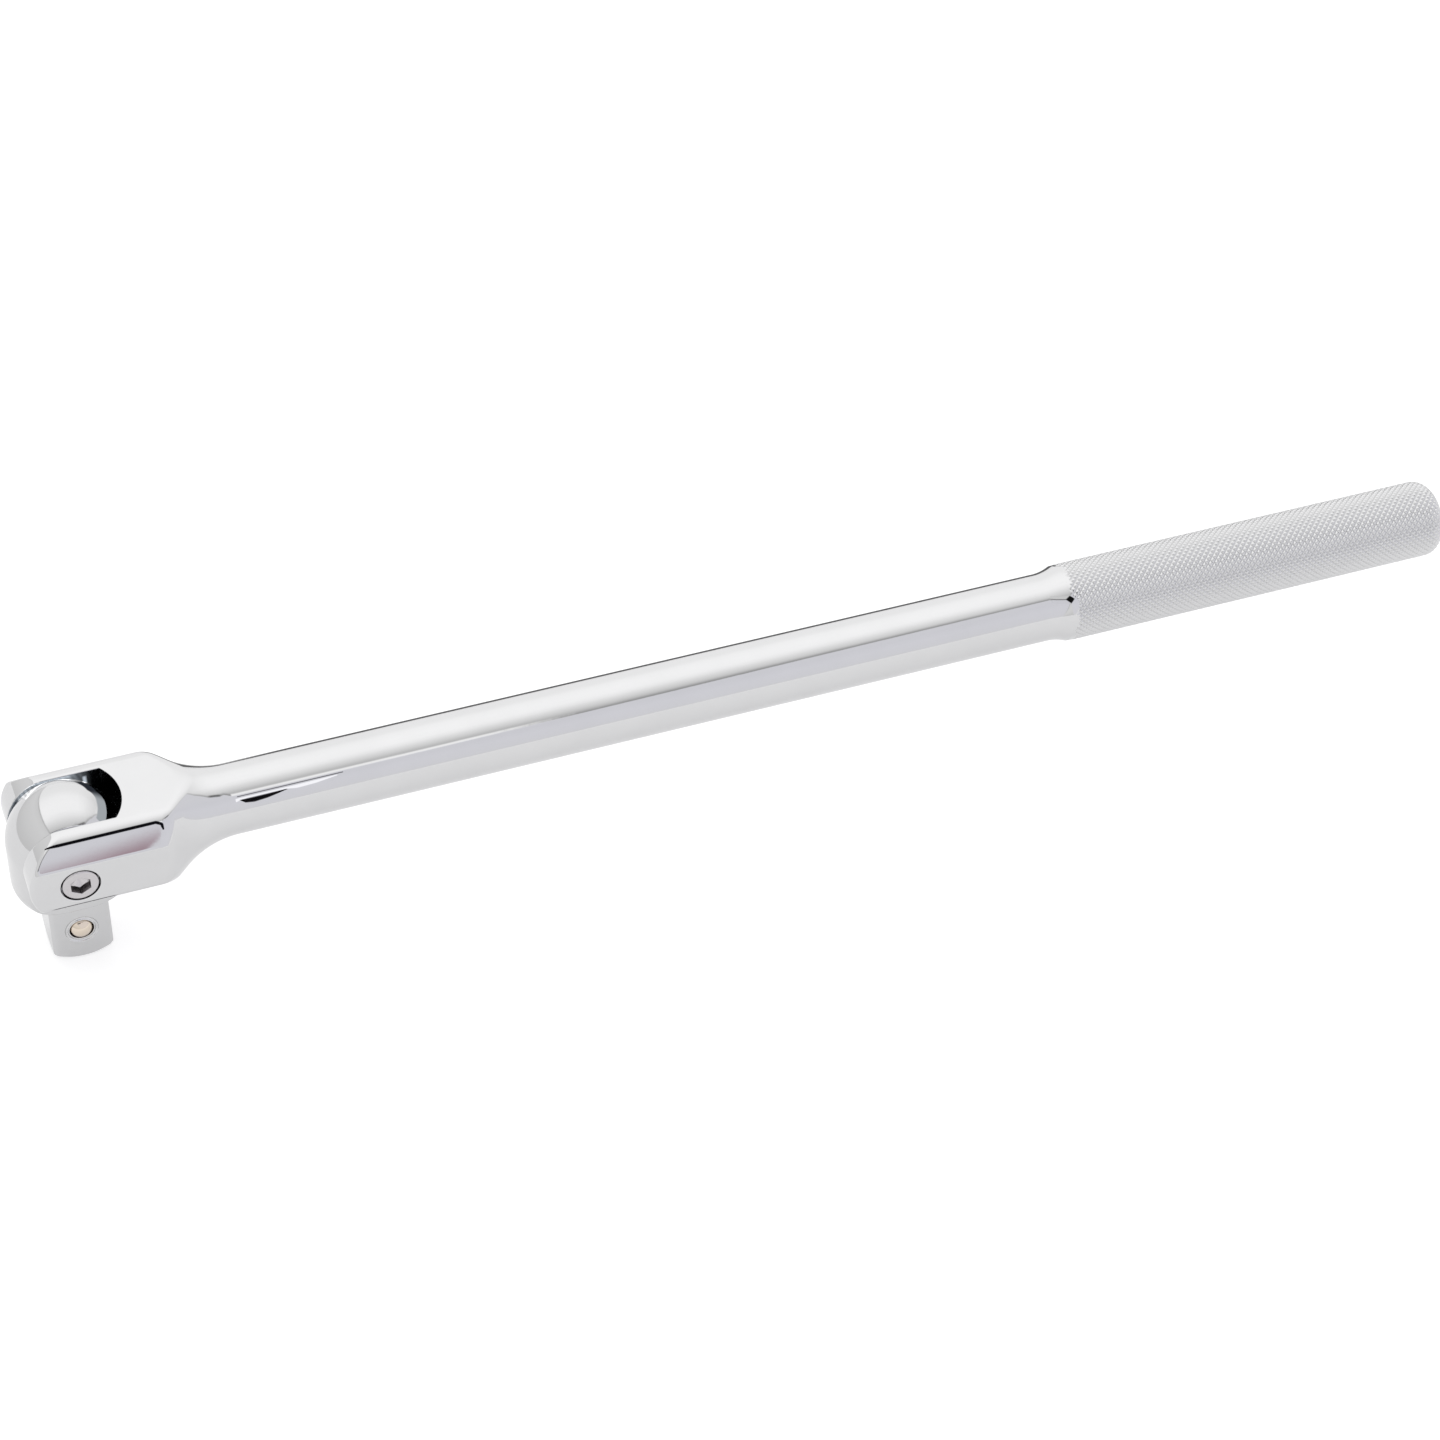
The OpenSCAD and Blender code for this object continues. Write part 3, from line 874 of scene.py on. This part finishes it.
def bevel_line():
    """Painted reflection of a black line along the near bevel's upper edge, hooked down at its
    right end.
    """
    half_width = 0.3
    way, side = lattice(np.linspace(0, 1, 60), np.linspace(-half_width, half_width, 7))
    path_x = np.interp(way, [0, 0.85, 0.93, 1.0], [-4.4, 12.9, 13.7, 13.8])
    path_down = np.interp(way, [0, 0.85, 0.93, 1.0], [1.1, 1.05, 1.5, 2.4])
    turn = np.interp(way, [0, 0.82, 0.9, 1.0], [0, 0, 0.9, 1.4])
    spread = side * np.interp(way, [0, 0.1, 0.95, 1.0], [0.5, 1, 1, 0.5])
    along = path_x + spread * np.sin(turn)
    down = path_down - spread * np.cos(turn)
    points, normals = on_yoke(bevel_plane(along, down))
    density = 1 - fade(np.abs(side), 0.24, half_width)
    mirror_card("bevel_line", points, normals, density, (0.004, 0.004, 0.006), 2)


def under_card():
    """Painted dark reflection: a line under the near ear, where it stands in front of the drive."""
    half_width = 0.14
    along, side = lattice(np.linspace(-5.0, 5.6, 30), np.linspace(-half_width, half_width, 7))
    points = np.stack([along, side * 0 - HALF_W, BEVEL - HALF_H - 0.04 + side], 2)
    points, normals = on_yoke(points)
    from_middle = np.abs(along - 0.3)
    density = (1 - fade(from_middle, 4.3, 5.3)) * (1 - fade(np.abs(side), 0.1, half_width))
    mirror_card("under_line", points, normals, density, (0.08, 0.08, 0.09), 1)


def slot_card():
    """Painted reflections: light and dark streaks on the slot's far wall above the knuckle."""
    x, z = lattice(np.linspace(-6, 6.2, 62), np.linspace(3.5, HALF_H - 0.1, 20))
    points = np.stack([x, 0 * x + SLOT_HALF, z], 2)
    normals = np.zeros_like(points) + np.array([0, -1, 0])
    level = np.interp(x, [-6, -4, -2.5, -1.5, 0, 1, 2, 3, 3.9, 4.6, 5.5, 6.2],
                      [1.0, 1.0, 0.45, 0.5, 0.7, 0.6, 0.65, 0.7, 0.35, 0.25, 0.08, 0.02])
    level = level * (1 + 0.3 * np.sin(7 * x + 3 * z))
    level = level + 1.1 * fade(z, 6.7, 7.1) * (1 - fade(x, 2, 3.5))
    level = level + 1.6 * (1 - fade(np.abs(x - 5), 0.15, 0.3)) * (1 - fade(z, 6.2, 6.6))
    density = fade(x, -6, -5) * (1 - fade(x, 5.6, 6.2))
    colour = level[:, :, None] * np.array([0.97, 0.98, 1.0])
    mirror_card("slot_wall_reflections", points, normals, density, colour, 0.15)


def shaft_card(name, xs, uppers, lowers, colour):
    """Card reflected by the near side of the shaft, between an upper and a lower outline.

    The outlines are angles round the shaft in degrees, at the places xs.
    """
    along, share = lattice(np.linspace(xs[0], xs[-1], 40), np.linspace(0, 1, 9))
    upper = np.interp(along, xs, uppers)
    turn = np.radians(upper + (np.interp(along, xs, lowers) - upper) * share)
    zero = 0 * along
    normals = np.stack([zero, -np.sin(turn), np.cos(turn)], 2)
    points = SHAFT_R * normals
    points[..., X] = along
    density = fade(share, -0.01, 0.15) * (1 - fade(share, 0.85, 1.01))
    mirror_card(name, points, normals, density, colour, 1.5)


def shaft_cards():
    """Painted reflections on the shaft beside the neck: a small dark lens, a bright highlight
    streak and a thin dark line.
    """
    shaft_card("black_lens", [26.8, 27.6, 29, 31, 33, 34.4], [50, 50, 50, 50, 50, 50],
               [51, 57, 59, 57.5, 54, 51], (0.005, 0.005, 0.006))
    shaft_card("bright_streak", [26.2, 27, 28, 34, 36, 39, 42.5], [47, 47, 47, 47, 47, 46.7, 46.5],
               [53, 51, 50, 50, 53, 52, 48], (1.35, 1.35, 1.4))
    shaft_card("thin_line", [26.5, 43.5], [43.7, 43.7], [45.6, 45.6], (0.25, 0.25, 0.27))


def flare_card():
    """Painted reflection of a thin line on the flare, down to a small black spot before the
    knurling.
    """
    first_x, spot_x, last_x = 164.9, 168.2, 169.1
    stations = grip_stations(0.0, 1.0)
    x, side = lattice(np.linspace(first_x, last_x, 46), np.linspace(-7, 7, 43))
    turn = np.radians(np.interp(x, [first_x, 166.1, spot_x, last_x], [35.5, 39, 44, 44]) + side)
    reach = np.interp(x, stations[:, 0], stations[:, 1])
    tilt = np.interp(x, stations[:, 0], stations[:, 2])
    outward = np.stack([0 * turn, -np.sin(turn), np.cos(turn)], 2)
    points = reach[:, :, None] * outward
    points[..., X] = x
    normals = np.cos(tilt)[:, :, None] * outward
    normals[..., X] = np.sin(tilt)
    below = fade(side, -0.8, 0.8)[:, :, None]
    colour = (1 - below) * np.array([0.82, 0.82, 0.82]) + below * np.array([0.85, 0.85, 0.90])
    black_spot = 1 - fade(np.abs(x - spot_x) / 0.75 + np.abs(side) / 6, 0.9, 1.15)
    dark = np.maximum(0.7 * (1 - fade(np.abs(side), 0.4, 1.2)), 0.99 * black_spot)
    density = fade(x, first_x, 165.4) * (1 - fade(x, 168.0, 168.4))
    density = np.maximum(density * (1 - fade(np.abs(side), 5, 7)), black_spot)
    mirror_card("flare_line", points, normals, density, colour * (1 - dark)[:, :, None], 1.0)


def ball_card():
    """Painted reflection of a slate and pale blue edge on the knuckle's ball end, beside the
    pocket.
    """
    turn, out = lattice(np.radians(np.linspace(-42, 44, 44)), np.linspace(0, 12, 9))
    first = np.interp(np.degrees(turn), [-42, -31, -14, -3, 6, 14, 44],
                      [42.0, 39.7, 36.8, 35.6, 33.4, 30.0, 29.5])
    polar = np.radians(first + out)
    normals = np.stack([np.sin(polar) * np.cos(turn), np.sin(polar) * np.sin(turn),
                        np.cos(polar)], 2)
    dark = fade(np.degrees(turn), -8, 14)[:, :, None]
    colour = dark * np.array([0.03, 0.035, 0.045]) + (1 - dark) * np.array([0.52, 0.56, 0.59])
    mirror_card("ball_edge", KNUCKLE_R * normals, normals, fade(out, 0, 1.5), colour, 1.5)


def studio_camera():
    """Camera above and to the left of the drive head, with the grip furthest away."""
    azimuth, elevation, roll = math.radians(-22.1), math.radians(43.4), math.radians(2.14)
    pivot_right, pivot_up, distance = -101.0 * MM, -18.15 * MM, 541.7 * MM
    right = np.array([math.cos(azimuth), math.sin(azimuth), 0.0])
    back = np.array([math.sin(azimuth) * math.cos(elevation),
                     -math.cos(azimuth) * math.cos(elevation), math.sin(elevation)])
    up = np.cross(back, right)
    rolled_right = math.cos(roll) * right + math.sin(roll) * up
    rolled_up = math.cos(roll) * up - math.sin(roll) * right
    spot = PIVOT + back * distance - rolled_right * pivot_right - rolled_up * pivot_up
    lens = bpy.data.cameras.new("camera")
    lens.sensor_width = 36.0
    lens.lens = 87.85
    lens.clip_start = 0.01
    camera = bpy.data.objects.new("camera", lens)
    bpy.context.scene.collection.objects.link(camera)
    turn = Matrix(np.stack([rolled_right, rolled_up, back], 1).tolist()).to_4x4()
    camera.matrix_world = Matrix.Translation(Vector(spot)) @ turn
    bpy.context.scene.camera = camera


# ---------------------------------------------------------------- build

CHROME = (0.70, 0.70, 0.705)

handle_chrome = metal("handle_chrome", CHROME, smoothest=0.03, roughest=0.07, peel=0.004)
head_chrome = metal("head_chrome", (0.68, 0.68, 0.685), smoothest=0.05, roughest=0.10, peel=0.005)
screw_plate = metal("screw_plate", (0.62, 0.60, 0.61), smoothest=0.12, roughest=0.22, peel=0.004)
# pocket_shade is painted shade for the slot walls, pocket and bore, darkest deep in the pocket.
pocket_shade = metal("pocket_shade", (0.60, 0.66, 0.72), smoothest=0.15, roughest=0.35, peel=0.02,
                     darker=[(-8, 0.5), (5, 0.5), (6.5, 0.15), (8, 0.08), (9.5, 0.05), (12, 0.05)])
socket_shade = metal("socket_shade", (0.26, 0.25, 0.25), smoothest=0.15, roughest=0.3, peel=0.01)
ball_steel = metal("ball_steel", (0.80, 0.70, 0.59), smoothest=0.05, roughest=0.10, peel=0.001)
friction_steel = metal("friction_steel", (0.62, 0.62, 0.63), smoothest=0.06, roughest=0.12,
                       peel=0.001)
spring_steel = metal("spring_steel", (0.30, 0.30, 0.31), smoothest=0.25, roughest=0.4, peel=0.002)

place(build_handle(), "handle", "handle", "handle_chrome", handle_chrome, pocket_shade)
place(build_from_field("drive_forging", head_field, head_low, head_high, DRIVE_CELL),
      "drive_head", "drive_head", "drive_chrome", head_chrome)
place(build_screw(), "pivot_screw", "handle", "screw_steel", screw_plate, socket_shade)
place(build_ball("retaining_ball", (0, DRIVE_BALL_Y, DRIVE_BALL_Z), DRIVE_BALL_R),
      "drive_ball", "drive_ball", "drive_ball_steel", ball_steel)
place(build_ball("detent_ball", (FRICTION_BALL_X, 0, 0), FRICTION_BALL_R),
      "friction_ball", "friction_ball", "friction_ball_steel", friction_steel)
place_spring("retaining_spring", "drive_ball_spring", "drive_head", Y, wire_r=0.2, turns=4.5)
place_spring("detent_spring", "friction_spring", "handle", X, wire_r=0.35, turns=5)

studio_world()
studio_floor()
studio_camera()
pink_card()
bevel_line()
under_card()
slot_card()
shaft_cards()
flare_card()
ball_card()
bpy.context.scene.view_settings.view_transform = "Standard"
